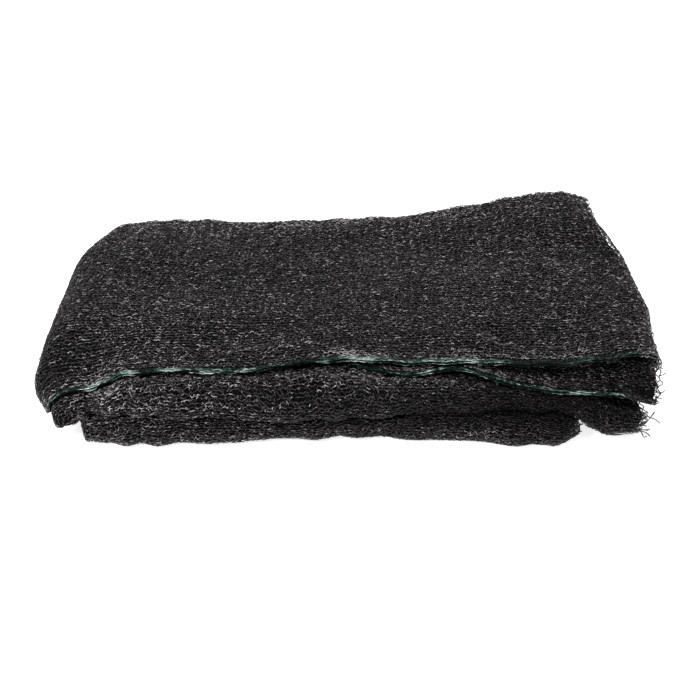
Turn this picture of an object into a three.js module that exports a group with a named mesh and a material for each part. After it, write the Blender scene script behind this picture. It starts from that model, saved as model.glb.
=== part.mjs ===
// A length of black knitted shade cloth, folded into a flat pack.
//
// The cloth is one sheet. Across its width it runs back and forth through six layers, with a fold at the
// front or the back between each two, and both of its green selvages end at the front. The strip that this
// makes is turned over at the left end, so the pack has an upper pass of six layers and a shorter lower
// pass of six, with the cut ends at the right.
//
// Millimetres. X runs along the knitted chains, left to right, Y from the front to the back, Z up.

import * as THREE from "three";

const { clamp, degToRad, lerp, smoothstep } = THREE.MathUtils;

// Driving dimensions
const clothThickness = 2.4;
const floorLayer = clothThickness / 2;
const layerCount = 6;
const outerLayer = layerCount - 1;
const foldLayers = [0, 1, 2, 3];
const topFoldLayer = foldLayers.at(-1);
const turnStart = -268;
const foldDepthPerLayer = 4;
const wideFoldDepth = topFoldLayer * foldDepthPerLayer;

// The turn at the left: how far it reaches out, and where its section changes from the upper pass's to the
// lower's. At its front corner the layers crowd outwards into a nose, and the two passes lie further apart at
// the turn than in the body of the pack.
const turnReach = 40;
const sectionChangeStart = degToRad(70);
const noseCrowding = 1.5;
const middleGap = { turn: 4.2, body: 1.8, length: 80 };

// The front zone, where the selvages and the front folds gape and sag
const frontZone = { full: -176, none: -75 };
const lowerSagLength = 32;
const selvageClearance = 20;
const foldFloorGap = 0.5;

// The cut ends at the right: how far back from the end they are ragged, and by how much
const raggedLength = 90;
const raggedWave = { heights: [4, 4, 4, 4, 1.2, 4], length: 46 };
const endSetback = [15, 22, 26, 17, 1, 0];
const topCornerReach = 9;
const lowerRaggedShare = 0.65;
const lowerLevelEnd = 216;
const endTaper = { setback: 20, startY: 40, endY: 178 };

// The rounded corners of the turn, drawn in to the right: the front one more in the upper pass
const cornerLength = 95;
const frontCorner = { fullY: -188, noneY: -128, upperInset: 24, lowerInset: 21 };
const backCorner = { noneY: 80, fullY: 172, inset: 24 };

// Ripples of the single layers
const ripple = { height: 0.8, alongX: 71, alongY: 58, layerShift: 1.9 };

// The raised corner of the pack at the back right
const cornerRise = { startY: 20, endY: 165, middleShare: 0.45 };

// How finely the sheet is divided
const runSteps = 7;
const runSpacing = 1.25;
const wideFoldSteps = 6;
const tightFoldSteps = 4;
const turnSteps = 8;

// The way of the cloth from the first selvage to the second: the layer that each run lies in, counted from
// the middle of the pack outwards, and the side where it folds over to the next run.
const runs = [
  { layer: 5, foldsAt: "back" },
  { layer: 2, foldsAt: "front" },
  { layer: 1, foldsAt: "back" },
  { layer: 0, foldsAt: "front" },
  { layer: 3, foldsAt: "back" },
  { layer: 4, foldsAt: "none" },
];

// The upper pass, a row for each section from the turn to the cut end: the y of the first and the second
// selvage, of the front fold's nose and of the back folds.
const upperRows = [
  { x: -268, first: -183, second: -166, fold: -190, back: 158 },
  { x: -248, first: -186, second: -167, fold: -196, back: 159 },
  { x: -225, first: -188, second: -168, fold: -200, back: 160 },
  { x: -160, first: -187, second: -168, fold: -203, back: 160 },
  { x: -90, first: -187, second: -167, fold: -203, back: 159 },
  { x: -20, first: -180, second: -168, fold: -202, back: 160 },
  { x: 50, first: -181, second: -186, fold: -200, back: 161 },
  { x: 105, first: -181, second: -183, fold: -196, back: 165 },
  { x: 150, first: -181, second: -188, fold: -191, back: 171 },
  { x: 200, first: -182, second: -190, fold: -186, back: 180 },
  { x: 222, first: -179, second: -190, fold: -189, back: 183 },
  { x: 244, first: -177, second: -189, fold: -194, back: 184 },
  { x: 265, first: -174, second: -187, fold: -196, back: 184 },
  { x: 306, first: -168, second: -179, fold: -190, back: 178 },
];

// Heights in the same sections: of the pack's middle, of the top layer in the body of the pack, of the two
// selvages and the top of the front fold at the front, and the rise of the top at the back.
const heightRows = [
  { x: -268, middle: 26, top: 78, first: 57, second: 51, fold: 44, rise: 0 },
  { x: -248, middle: 26, top: 79, first: 66, second: 60, fold: 53, rise: 0 },
  { x: -225, middle: 25, top: 80, first: 72, second: 67, fold: 60, rise: 1 },
  { x: -160, middle: 25, top: 81, first: 74, second: 69, fold: 64, rise: 0 },
  { x: -90, middle: 25, top: 79, first: 76, second: 70, fold: 64, rise: 0 },
  { x: -20, middle: 24, top: 80, first: 82, second: 73, fold: 64, rise: 2 },
  { x: 50, middle: 24, top: 81, first: 82, second: 67, fold: 60, rise: 4 },
  { x: 105, middle: 24, top: 82, first: 81, second: 72, fold: 58, rise: 8 },
  { x: 150, middle: 24, top: 83, first: 81, second: 60, fold: 50, rise: 13 },
  { x: 200, middle: 23, top: 84, first: 80, second: 51, fold: 42, rise: 19 },
  { x: 222, middle: 20, top: 84, first: 81.5, second: 50.5, fold: 39, rise: 21 },
  { x: 244, middle: 5, top: 84, first: 83, second: 48.5, fold: 33, rise: 22.5 },
  { x: 265, middle: 2.5, top: 84, first: 84, second: 45, fold: 27, rise: 23 },
  { x: 306, middle: 2, top: 82, first: 82, second: 30, fold: 20, rise: 18 },
];

// The lower pass, whose selvages lie hidden behind the front fold, from the turn to its cut end
const lowerRows = [
  { x: -268, first: -128, second: -126, fold: -203, back: 156 },
  { x: -252, first: -130, second: -128, fold: -206, back: 158 },
  { x: -225, first: -131, second: -129, fold: -207, back: 158 },
  { x: -165, first: -132, second: -130, fold: -207, back: 160 },
  { x: -105, first: -130, second: -128, fold: -202, back: 157 },
  { x: -40, first: -131, second: -127, fold: -198, back: 160 },
  { x: 25, first: -130, second: -128, fold: -196, back: 162 },
  { x: 90, first: -132, second: -130, fold: -197, back: 165 },
  { x: 145, first: -131, second: -128, fold: -205, back: 168 },
  { x: 195, first: -130, second: -128, fold: -206, back: 170 },
  { x: 218, first: -129, second: -127, fold: -205, back: 168 },
  { x: 230, first: -128, second: -126, fold: -199, back: 165 },
];

const upperEnd = upperRows.at(-1).x;
const lowerEnd = lowerRows.at(-1).x;

/** One column of a table at x, on a smooth curve through its rows. */
function column(rows, name, x) {
  const last = rows.length - 1;
  const found = rows.findIndex((row) => row.x >= x);
  const after = clamp(found < 0 ? last : found, 1, last);
  const before = after - 1;
  const slope = (i) => {
    const low = rows[Math.max(i - 1, 0)];
    const high = rows[Math.min(i + 1, last)];
    return (high[name] - low[name]) / (high.x - low.x);
  };
  const span = rows[after].x - rows[before].x;
  const t = clamp((x - rows[before].x) / span, 0, 1);
  const easeIn = t * t * (3 - 2 * t);
  const level = lerp(rows[before][name], rows[after][name], easeIn);
  const leave = slope(before) * t * (1 - t) * (1 - t);
  const arrive = slope(after) * t * t * (1 - t);
  return level + span * (leave - arrive);
}

/** How much of the gaping front a point at depth y takes, from 0 in the body to 1 at the front. */
function frontShare(y) {
  return 1 - smoothstep(y, frontZone.full, frontZone.none);
}

/** Rise of the top over its even height, at the back right corner. */
function riseAt(x, y) {
  return column(heightRows, "rise", x) * smoothstep(y, cornerRise.startY, cornerRise.endY);
}

/** Height of the pack's middle, between the upper pass and the lower. */
function middleHeight(x, y) {
  return column(heightRows, "middle", x) + cornerRise.middleShare * riseAt(x, y);
}

/** Distance of the two innermost layers from the middle, at the front. */
function gapAt(x) {
  return lerp(middleGap.turn, middleGap.body, smoothstep(x, turnStart, turnStart + middleGap.length));
}

/** Height of a layer of the upper pass. */
function upperHeight(layer, x, y) {
  const middle = middleHeight(x, y);
  const top = column(heightRows, "top", x) + riseAt(x, y);
  const even = lerp(middle, top, (layer + 0.5) / (outerLayer + 0.5));
  const foldTop = column(heightRows, "fold", x);
  const foldLow = middle + gapAt(x);
  const heights = foldLayers.map((i) => lerp(foldLow, foldTop, i / topFoldLayer));
  heights.push(column(heightRows, "second", x), column(heightRows, "first", x));
  const waveAlong = Math.sin(x / ripple.alongX + layer * ripple.layerShift);
  const waveAcross = Math.cos(y / ripple.alongY + layer);
  return lerp(even, heights[layer], frontShare(y)) + ripple.height * waveAlong * waveAcross;
}

/** Height of a layer of the lower pass, whose front fold sags to the floor before the hidden selvages. */
function lowerHeight(layer, x, y, section) {
  const middle = middleHeight(x, y);
  const even = lerp(floorLayer, middle, (outerLayer - layer) / (outerLayer + 0.5));
  const foldTop = middle - gapAt(x);
  const sagged = lerp(floorLayer + foldFloorGap, foldTop, clamp(1 - layer / topFoldLayer, 0, 1));
  const sagStart = Math.min(section.first, section.second) - selvageClearance;
  const sag = 1 - smoothstep(y, sagStart - lowerSagLength, sagStart);
  return lerp(even, sagged, sag);
}

/** The y of the selvages and folds at a station of the strip. */
function sectionAt(station) {
  const { x, turn } = station;
  const share = smoothstep(turn, sectionChangeStart, Math.PI);
  const names = ["first", "second", "fold", "back"];
  const section = {};
  for (const name of names) {
    const upper = column(upperRows, name, x);
    const lower = column(lowerRows, name, x);
    section[name] = lerp(upper, lower, share);
  }
  return section;
}

/** Depth along a run, with the points closer together towards the front. */
function runDepth(start, end, t) {
  const front = Math.min(start, end);
  const back = Math.max(start, end);
  const fromFront = start < end ? t : 1 - t;
  return lerp(front, back, Math.pow(fromFront, runSpacing));
}

/** The centre line of one section across the cloth, from the first selvage to the second. */
function crossSection(section) {
  const points = [];
  const ends = {
    back: section.back - wideFoldDepth,
    front: section.fold + wideFoldDepth,
    none: section.second,
  };
  let start = section.first;
  runs.forEach((run, i) => {
    const next = runs[i + 1];
    const end = ends[run.foldsAt];
    for (let step = 0; step < runSteps; step += 1) {
      const y = runDepth(start, end, step / runSteps);
      points.push({ y, from: run.layer, to: run.layer, share: 0 });
    }
    if (!next) {
      points.push({ y: end, from: run.layer, to: run.layer, share: 0 });
      return;
    }
    const layersCrossed = Math.abs(next.layer - run.layer);
    const depth = foldDepthPerLayer * layersCrossed * (run.foldsAt === "back" ? 1 : -1);
    const foldSteps = layersCrossed > 1 ? wideFoldSteps : tightFoldSteps;
    for (let step = 0; step < foldSteps; step += 1) {
      const angle = (Math.PI * step) / foldSteps;
      const share = (1 - Math.cos(angle)) / 2;
      const y = end + depth * Math.sin(angle);
      points.push({ y, from: run.layer, to: next.layer, share });
    }
    start = end;
  });
  return points;
}

/** How far a layer's cut end stands back from the straight end of its pass. */
function raggedEnd(station, layer, y) {
  const end = station.turn === 0 ? upperEnd : lowerEnd;
  const nearEnd = smoothstep(station.x, end - raggedLength, end);
  const atLayer = (values) => lerp(values[Math.floor(layer)], values[Math.ceil(layer)], layer % 1);
  const setback = atLayer(endSetback);
  const wave = atLayer(raggedWave.heights) * (1 + Math.sin(y / raggedWave.length + layer));
  const taper = endTaper.setback * smoothstep(y, endTaper.startY, endTaper.endY);
  const share = station.turn === 0 ? 1 : lowerRaggedShare;
  const onTop = station.turn === 0 && layer === outerLayer;
  const reach = onTop ? topCornerReach * (1 - smoothstep(y, frontZone.full, frontZone.none)) : 0;
  return nearEnd * (share * (setback + wave + taper) - reach);
}

/** How near a point at depth y is to the front corner of the turn, from 0 to 1. */
function cornerShare(y) {
  return 1 - smoothstep(y, frontCorner.fullY, frontCorner.noneY);
}

/** How far the turn bulges out to the left at a layer. */
function turnBulge(turn, layer, y) {
  const crowding = lerp(1, noseCrowding, cornerShare(y));
  const inward = 1 - (layer + 0.5) / (outerLayer + 0.5);
  return turnReach * (1 - Math.pow(inward, crowding)) * Math.sin(turn);
}

/** How far the corners of the turn are drawn in to the right. */
function cornerInset(station, y) {
  const towardsTurn = 1 - smoothstep(station.x, turnStart, turnStart + cornerLength);
  const towardsFront = cornerShare(y);
  const towardsBack = smoothstep(y, backCorner.noneY, backCorner.fullY);
  const frontInset = lerp(frontCorner.upperInset, frontCorner.lowerInset, station.turn / Math.PI);
  return towardsTurn * (frontInset * towardsFront + backCorner.inset * towardsBack);
}

/** The place in space of a point of the cloth's centre surface. */
function clothPoint(station, section, point) {
  const { x, turn } = station;
  const { y, from, to, share } = point;
  const side = Math.cos(turn);
  const layer = lerp(from, to, share);
  const height = side >= 0 ? upperHeight : lowerHeight;
  const levelX = side >= 0 ? x : Math.min(x, lowerLevelEnd);
  const middle = middleHeight(levelX, y);
  const start = height(from, levelX, y, section);
  const away = Math.abs(lerp(start, height(to, levelX, y, section), share) - middle);
  const shift = cornerInset(station, y) - turnBulge(turn, layer, y) - raggedEnd(station, layer, y);
  return new THREE.Vector3(x + shift, y, middle + away * side);
}

/** The stations along the strip: leftwards through the upper pass, round the turn, back through the lower. */
function stripStations() {
  const upper = upperRows.map((row) => ({ x: row.x, turn: 0 })).reverse();
  const turns = Array.from({ length: turnSteps - 1 }, (_, i) => (Math.PI * (i + 1)) / turnSteps);
  const round = turns.map((turn) => ({ x: turnStart, turn }));
  const lower = lowerRows.map((row) => ({ x: row.x, turn: Math.PI }));
  return [...upper, ...round, ...lower];
}

/** Unit normals of a grid of points, from the differences between each point's neighbours. */
function gridNormals(grid) {
  const lastRow = grid.length - 1;
  const lastColumn = grid[0].length - 1;
  return grid.map((row, i) =>
    row.map((_, j) => {
      const along = grid[Math.min(i + 1, lastRow)][j].clone().sub(grid[Math.max(i - 1, 0)][j]);
      const across = row[Math.min(j + 1, lastColumn)].clone().sub(row[Math.max(j - 1, 0)]);
      return along.cross(across).normalize();
    }),
  );
}

/** A closed sheet of even thickness about a grid of centre points. */
function thickSheet(grid, thickness) {
  const normals = gridNormals(grid);
  const rowLength = grid[0].length;
  const positions = [];
  for (const half of [thickness / 2, -thickness / 2]) {
    grid.forEach((row, i) => {
      row.forEach((point, j) => {
        const moved = point.clone().addScaledVector(normals[i][j], half);
        positions.push(...moved.toArray());
      });
    });
  }
  const sideSize = grid.length * rowLength;
  const front = (i, j) => i * rowLength + j;
  const rear = (i, j) => sideSize + i * rowLength + j;
  const index = [];
  const quad = (a, b, c, d) => index.push(a, b, c, a, c, d);
  const lastRow = grid.length - 1;
  const lastColumn = rowLength - 1;
  for (let i = 0; i < lastRow; i += 1) {
    for (let j = 0; j < lastColumn; j += 1) {
      quad(front(i, j), front(i + 1, j), front(i + 1, j + 1), front(i, j + 1));
      quad(rear(i, j), rear(i, j + 1), rear(i + 1, j + 1), rear(i + 1, j));
    }
    quad(front(i, 0), rear(i, 0), rear(i + 1, 0), front(i + 1, 0));
    quad(front(i, lastColumn), front(i + 1, lastColumn), rear(i + 1, lastColumn), rear(i, lastColumn));
  }
  for (let j = 0; j < lastColumn; j += 1) {
    quad(front(0, j), front(0, j + 1), rear(0, j + 1), rear(0, j));
    quad(front(lastRow, j), rear(lastRow, j), rear(lastRow, j + 1), front(lastRow, j + 1));
  }
  const geometry = new THREE.BufferGeometry();
  geometry.setAttribute("position", new THREE.Float32BufferAttribute(positions, 3));
  geometry.setIndex(index);
  return geometry;
}

/** The folded cloth, standing on the floor with the middle of its outline over the origin. */
function foldedCloth() {
  const grid = stripStations().map((station) => {
    const section = sectionAt(station);
    return crossSection(section).map((point) => clothPoint(station, section, point));
  });
  const geometry = thickSheet(grid, clothThickness);
  geometry.computeBoundingBox();
  const { min, max } = geometry.boundingBox;
  geometry.translate(-(min.x + max.x) / 2, -(min.y + max.y) / 2, -min.z);
  geometry.computeVertexNormals();
  return geometry;
}

const blackKnit = new THREE.MeshStandardMaterial({ color: 0x1d1c1d, roughness: 0.55, metalness: 0 });

const shadeCloth = new THREE.Mesh(foldedCloth(), blackKnit);
shadeCloth.name = "shade_cloth";

const pack = new THREE.Group();
pack.add(shadeCloth);

export default pack;
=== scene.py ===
"""Looks of a folded length of black knitted shade cloth with green selvages.

The cloth is one sheet. Across its width it runs back and forth through six plies, and the strip that this
makes is turned over at its left end, so the pack has an upper pass and a shorter lower pass of six plies
each. A thin ground sheet follows every ply. Where the pack can be seen from outside, the knit itself lies
on it: chains of loops, called wales, that run along the strip, and flat tapes laid in between them in a
zigzag. Both long edges are green selvages, and the cut ends at the right are frayed.
"""

import logging
import math
from dataclasses import dataclass, field
from enum import Enum
from itertools import product

import bpy
import numpy as np
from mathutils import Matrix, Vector
from mathutils.bvhtree import BVHTree


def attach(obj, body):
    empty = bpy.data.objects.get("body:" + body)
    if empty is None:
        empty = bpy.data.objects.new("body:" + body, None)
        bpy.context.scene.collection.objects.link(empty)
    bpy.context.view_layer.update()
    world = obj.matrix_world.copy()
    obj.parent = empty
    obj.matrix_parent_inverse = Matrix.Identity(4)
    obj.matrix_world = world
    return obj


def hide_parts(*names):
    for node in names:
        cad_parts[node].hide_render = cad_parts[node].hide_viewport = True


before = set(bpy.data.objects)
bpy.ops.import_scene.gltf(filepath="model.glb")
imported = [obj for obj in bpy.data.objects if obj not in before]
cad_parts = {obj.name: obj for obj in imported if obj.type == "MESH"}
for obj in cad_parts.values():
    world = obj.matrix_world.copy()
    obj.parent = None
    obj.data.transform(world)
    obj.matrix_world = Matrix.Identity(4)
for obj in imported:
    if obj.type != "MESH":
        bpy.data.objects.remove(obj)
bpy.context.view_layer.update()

MM = 0.001
BODY = "root"
CLOTH_NODE = "shade_cloth"
FINISH_MAP = "OFBake"
FLOOR_CLEARANCE = 0.05
SEED = 7
TINY = 1e-9

# Small steps from ring to ring and corner to corner give each face of a strand some room in the map.
RING_STEP = 0.014
CORNER_STEPS = ((0.0, 0.0), (0.0, 0.012), (0.012, 0.024))

# Places of the colour sockets of a Mix node.
MIX_SHARE, MIX_FIRST, MIX_SECOND = 0, 6, 7
MIX_RESULT = 2

Array = np.ndarray
Pair = tuple[float, float]
Triple = tuple[float, float, float]
ColourStops = tuple[tuple[float, Triple], ...]
Socket = bpy.types.NodeSocket
log = logging.getLogger("shade_cloth")


def smoothstep(value: Array, low: float, high: float) -> Array:
    """Eases from 0 at low to 1 at high."""
    t = np.clip((value - low) / (high - low), 0.0, 1.0)
    return t * t * (3.0 - 2.0 * t)


def mix(start: Array, end: Array, share: Array) -> Array:
    """The value at a share of the way from start to end."""
    return start + (end - start) * share


def unit(vectors: Array) -> Array:
    """Vectors of length 1 in the same directions."""
    lengths = np.linalg.norm(vectors, axis=-1, keepdims=True)
    return vectors / np.maximum(lengths, TINY)


def bell(value: Array, centre: float, half_width: float) -> Array:
    """A soft bump of height 1 about a centre."""
    return np.exp(-(((value - centre) / half_width) ** 2))


def beat(along: Array, lengths: Pair, shifts: Pair) -> Array:
    """Waves that come and go: the product of two sines of unlike lengths."""
    return np.sin(along / lengths[0] + shifts[0]) * np.sin(along / lengths[1] + shifts[1])


def ring_steps(rings: int) -> Array:
    """The small step in gloss of every other ring of a strand."""
    return RING_STEP * (np.arange(rings) % 2)


def grid_quads(index: Array) -> Array:
    """The four-sided faces of a grid of vertices."""
    corners = [index[:-1, :-1], index[1:, :-1], index[1:, 1:], index[:-1, 1:]]
    return np.stack(corners, axis=-1).reshape(-1, 4)


class Profile:
    """Named columns of a table by x, each on a smooth curve through its rows."""

    def __init__(self, names: str, rows: tuple[tuple[float, ...], ...]) -> None:
        """Reads the table.

        Args:
            names: the columns' names, of which the first is x.
            rows: one row for each section, by rising x.
        """
        table = np.array(rows, float)
        self.x = table[:, 0]
        self.columns = dict(zip(names.split()[1:], table.T[1:]))

    def at(self, name: str, x: Array) -> Array:
        """One column's values.

        Args:
            name: the column.
            x: where to read it. Past the table's ends it stays level.
        Returns:
            An array like x.
        """
        knots, values = self.x, self.columns[name]
        last = len(knots) - 1
        low = np.maximum(np.arange(last + 1) - 1, 0)
        high = np.minimum(np.arange(last + 1) + 1, last)
        slopes = (values[high] - values[low]) / (knots[high] - knots[low])
        after = np.clip(np.searchsorted(knots, x), 1, last)
        before = after - 1
        span = knots[after] - knots[before]
        t = np.clip((x - knots[before]) / span, 0.0, 1.0)
        level = mix(values[before], values[after], smoothstep(t, 0.0, 1.0))
        leave = slopes[before] * t * (1.0 - t) ** 2
        arrive = slopes[after] * t * t * (1.0 - t)
        return level + span * (leave - arrive)


class FoldSide(Enum):
    """Where a run of the cloth folds over to the next."""

    BACK = 0
    FRONT = 1
    NONE = 2


@dataclass(frozen=True)
class Run:
    """One run of the cloth across the pack: the ply it lies in, from the middle outwards, and its fold."""

    ply: int
    folds_at: FoldSide


@dataclass(frozen=True)
class Zone:
    """A stretch over which something comes in: none at one end, in full at the other."""

    none: float
    full: float

    def share(self, value: Array) -> Array:
        """How much of it there is, from 0 to 1."""
        return smoothstep(value, self.none, self.full)


@dataclass(frozen=True)
class Crease:
    """A soft ridge on the top, or a trough where its height is below 0, between two points."""

    start: Pair
    end: Pair
    half_width: float
    height: float

    def rise(self, x: Array, y: Array) -> Array:
        """How much higher it makes the top."""
        way = np.subtract(self.end, self.start)
        from_start = np.stack([x - self.start[0], y - self.start[1]])
        share = np.clip(np.tensordot(way, from_start, 1) / way.dot(way), 0.0, 1.0)
        aside = np.hypot(from_start[0] - share * way[0], from_start[1] - share * way[1])
        return self.height * bell(aside, 0.0, self.half_width)


@dataclass(frozen=True)
class CrossWave:
    """Low waves over the cloth: a sine along one slant, times a cosine along another if it has lengths."""

    height: float
    sine: Pair
    cosine: Pair = (math.inf, math.inf)

    def at(self, first: Array, second: Array) -> Array:
        """Their height at places given by two distances."""
        slant = first / self.sine[0] + second / self.sine[1]
        other = first / self.cosine[0] + second / self.cosine[1]
        return self.height * np.sin(slant) * np.cos(other)


@dataclass
class FoldPlan:
    """The folded cloth's way through the pack, in millimetres: its solid's folds and smaller forms."""

    # The plies and the middle of the pack
    half_thickness: float = 1.2
    middle_gap: Pair = (1.0, 0.8)
    middle_wave_height: float = 2.2
    middle_wave_length: float = 43.0
    middle_gap_zone: Zone = Zone(-268.0, -188.0)
    outer_ply: int = 5
    top_fold_ply: int = 3
    # The turn at the left end
    turn_start: float = -268.0
    turn_reach: float = 40.0
    lower_turn_reach: float = 9.0
    turn_pinch: Zone = Zone(math.radians(112.0), math.radians(132.0))
    nose_crowding: float = 2.2
    notch_angle: float = math.radians(137.0)
    notch_half_angle: float = math.radians(18.0)
    notch_lift: float = 0.68
    notch_zone: Zone = Zone(-100.0, -150.0)
    nose_dip: Pair = (math.radians(112.0), -3.5)
    notch_rise: Pair = (math.radians(130.0), 8.0)
    dip_half_angle: float = math.radians(8.0)
    turn_length: float = 125.0
    section_change: Zone = Zone(math.radians(70.0), math.pi)
    # The folds at the front
    fold_depth_per_ply: float = 4.0
    front_zone: Zone = Zone(-75.0, -176.0)
    lower_sag_length: float = 32.0
    selvage_clearance: float = 20.0
    fold_floor_gap: float = 0.5
    # The cut ends
    ragged_length: float = 90.0
    ragged_heights: tuple[float, ...] = (4.0, 4.0, 4.0, 4.0, 1.2, 4.0)
    ragged_wave_length: float = 46.0
    end_setback: tuple[float, ...] = (15.0, 22.0, 26.0, 17.0, 1.0, 0.0)
    top_corner_reach: float = 19.0
    second_end_reach: float = 5.0
    second_end_inset: float = 14.0
    second_reach_zone: Zone = Zone(-40.0, -130.0)
    second_inset_zone: Zone = Zone(-140.0, -190.0)
    lower_ragged_share: float = 0.35
    lower_level_end: float = 220.0
    lower_end_zone: Zone = Zone(204.0, 230.0)
    lower_end_lift: float = 0.42
    end_taper: float = 20.0
    end_taper_zone: Zone = Zone(40.0, 178.0)
    # The corners of the turn
    corner_length: float = 95.0
    front_corner: Zone = Zone(-128.0, -188.0)
    front_corner_insets: Pair = (24.0, 21.0)
    back_corner: Zone = Zone(80.0, 172.0)
    back_corner_inset: float = 24.0
    # The unevenness of all plies and the rise at the back
    ripple_height: float = 0.8
    ripple_lengths: Pair = (71.0, 58.0)
    ripple_ply_shift: float = 1.9
    rise_zone: Zone = Zone(20.0, 165.0)
    rise_middle_share: float = 0.45
    # The top ply
    top_zone: Zone = Zone(322.0, 280.0)
    top_fade: float = 40.0
    curl_length: float = 15.0
    curl_limit: float = 1.3
    curl_drop: float = 9.0
    roll_length: float = 30.0
    roll_radius: float = 11.0
    roll_zone: Zone = Zone(-20.0, -130.0)
    least_roll: float = 0.01
    lumps: tuple[CrossWave, ...] = (
        CrossWave(1.1, (37.0, 53.0), (61.0, -29.0)),
        CrossWave(1.1, (83.0, -41.0)),
    )
    fold_lump: float = 2.4
    fold_lump_length: float = 10.0
    fold_lump_sway: float = 2.0
    fold_lump_sway_length: float = 31.0
    edge_wave_height: float = 1.6
    edge_wave_depth: float = 12.0
    edge_wave_lengths: Pair = (8.3, 21.0)
    edge_wave_shifts: Pair = (0.0, 2.0)
    creases: tuple[Crease, ...] = (
        Crease((186.0, 80.0), (134.0, -130.0), 8.0, 2.0),
        Crease((82.0, -120.0), (130.0, -142.0), 15.0, 3.0),
        Crease((140.0, -112.0), (150.0, -128.0), 8.0, -3.5),
        Crease((-250.0, 90.0), (-262.0, -60.0), 16.0, -2.0),
        Crease((-120.0, -150.0), (-40.0, -140.0), 12.0, 1.8),
        Crease((215.0, 40.0), (258.0, -120.0), 14.0, 2.2),
    )
    # The cloth from selvage to selvage
    run_length: float = 330.0
    wide_fold_length: float = 44.0
    tight_fold_length: float = 16.0
    centre: Pair = (-1.6, -11.5)
    runs: tuple[Run, ...] = (
        Run(5, FoldSide.BACK),
        Run(2, FoldSide.FRONT),
        Run(1, FoldSide.BACK),
        Run(0, FoldSide.FRONT),
        Run(3, FoldSide.BACK),
        Run(4, FoldSide.NONE),
    )
    # The lines and heights of the folds
    upper: Profile = field(default_factory=lambda: Profile(
        "x first second fold back",
        (
            (-268, -183, -166, -190, 158),
            (-248, -186, -167, -196, 159),
            (-225, -188, -168, -200, 160),
            (-160, -187, -168, -203, 160),
            (-90, -187, -167, -203, 159),
            (-20, -180, -168, -202, 160),
            (50, -181, -186, -200, 161),
            (105, -181, -183, -196, 165),
            (150, -181, -188, -191, 171),
            (200, -182, -190, -186, 180),
            (222, -179, -190, -189, 183),
            (244, -177, -189, -194, 184),
            (265, -174, -187, -196, 184),
            (306, -168, -179, -190, 178),
        ),
    ))
    heights: Profile = field(default_factory=lambda: Profile(
        "x middle top first second fold rise",
        (
            (-268, 26, 78, 51, 46, 43, 0),
            (-248, 26, 79, 60, 56, 52, 0),
            (-225, 25, 80, 68, 65, 62, 1),
            (-160, 25, 81, 70.5, 68, 65.5, 0),
            (-90, 25, 79, 73, 70, 67, 0),
            (-20, 24, 80, 81, 74, 69, 2),
            (50, 25.5, 81, 80.5, 67, 62, 4),
            (105, 28.5, 82, 79, 72, 58, 8),
            (150, 29, 83, 77.5, 60, 50, 13),
            (200, 25, 84, 76.5, 51, 42, 19),
            (218, 22.5, 84, 77.5, 50.5, 40, 20),
            (226, 17, 84, 78, 50, 37, 21),
            (233, 11, 84, 78.5, 49.5, 35, 22),
            (243, 7, 84, 79, 48, 32, 22.3),
            (256, 3, 84, 79.5, 46, 29, 22.7),
            (265, 2.5, 84, 80, 45, 27, 23),
            (306, 2, 82, 78, 30, 20, 18),
        ),
    ))
    lower: Profile = field(default_factory=lambda: Profile(
        "x first second fold back",
        (
            (-268, -128, -126, -203, 156),
            (-252, -130, -128, -206, 158),
            (-225, -131, -129, -207, 158),
            (-165, -132, -130, -207, 160),
            (-105, -130, -128, -202, 157),
            (-40, -131, -127, -198, 160),
            (25, -130, -128, -196, 162),
            (90, -132, -130, -201, 165),
            (145, -131, -128, -209, 168),
            (195, -130, -128, -210, 170),
            (218, -129, -127, -208, 168),
            (230, -128, -126, -199, 165),
        ),
    ))

    def __post_init__(self) -> None:
        """Works out the lengths of the cloth's stretches along and across it."""
        self.upper_end = float(self.upper.x[-1])
        self.lower_end = float(self.lower.x[-1])
        self.upper_length = self.upper_end - self.turn_start
        self.lower_start = self.upper_length + self.turn_length
        self.length = self.lower_start + self.lower_end - self.turn_start
        lengths = []
        for run, after in zip(self.runs, self.runs[1:]):
            wide = abs(after.ply - run.ply) > 1
            lengths += [self.run_length, self.wide_fold_length if wide else self.tight_fold_length]
        lengths.append(self.run_length)
        self.stretch_ends = np.cumsum([0.0, *lengths])
        self.width = float(self.stretch_ends[-1])
        self.run_plies = np.array([run.ply for run in self.runs] + [self.runs[-1].ply])
        self.run_sides = np.array([run.folds_at.value for run in self.runs])

    def station(self, along: Array) -> tuple[Array, Array]:
        """The x and the turn of places along the strip.

        Args:
            along: distances from the upper cut end.
        Returns:
            x, and the angle turned over, which is 0 in the upper pass and pi in the lower.
        """
        turned = np.clip((along - self.upper_length) / self.turn_length, 0.0, 1.0)
        from_turn = np.maximum(self.upper_length - along, 0.0) + np.maximum(along - self.lower_start, 0.0)
        return self.turn_start + from_turn, math.pi * turned

    def section(self, x: Array, turn: Array) -> dict[str, Array]:
        """The y of the selvages and of the lumpy folds at places along the strip."""
        share = self.section_change.share(turn)
        names = ("first", "second", "fold", "back")
        lines = {name: mix(self.upper.at(name, x), self.lower.at(name, x), share) for name in names}
        sway = self.fold_lump_sway * np.sin(x / self.fold_lump_sway_length)
        lumps = self.fold_lump * np.sin(x / self.fold_lump_length + sway + turn)
        lines["fold"] = lines["fold"] + lumps
        lines["back"] = lines["back"] - lumps
        return lines

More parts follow.
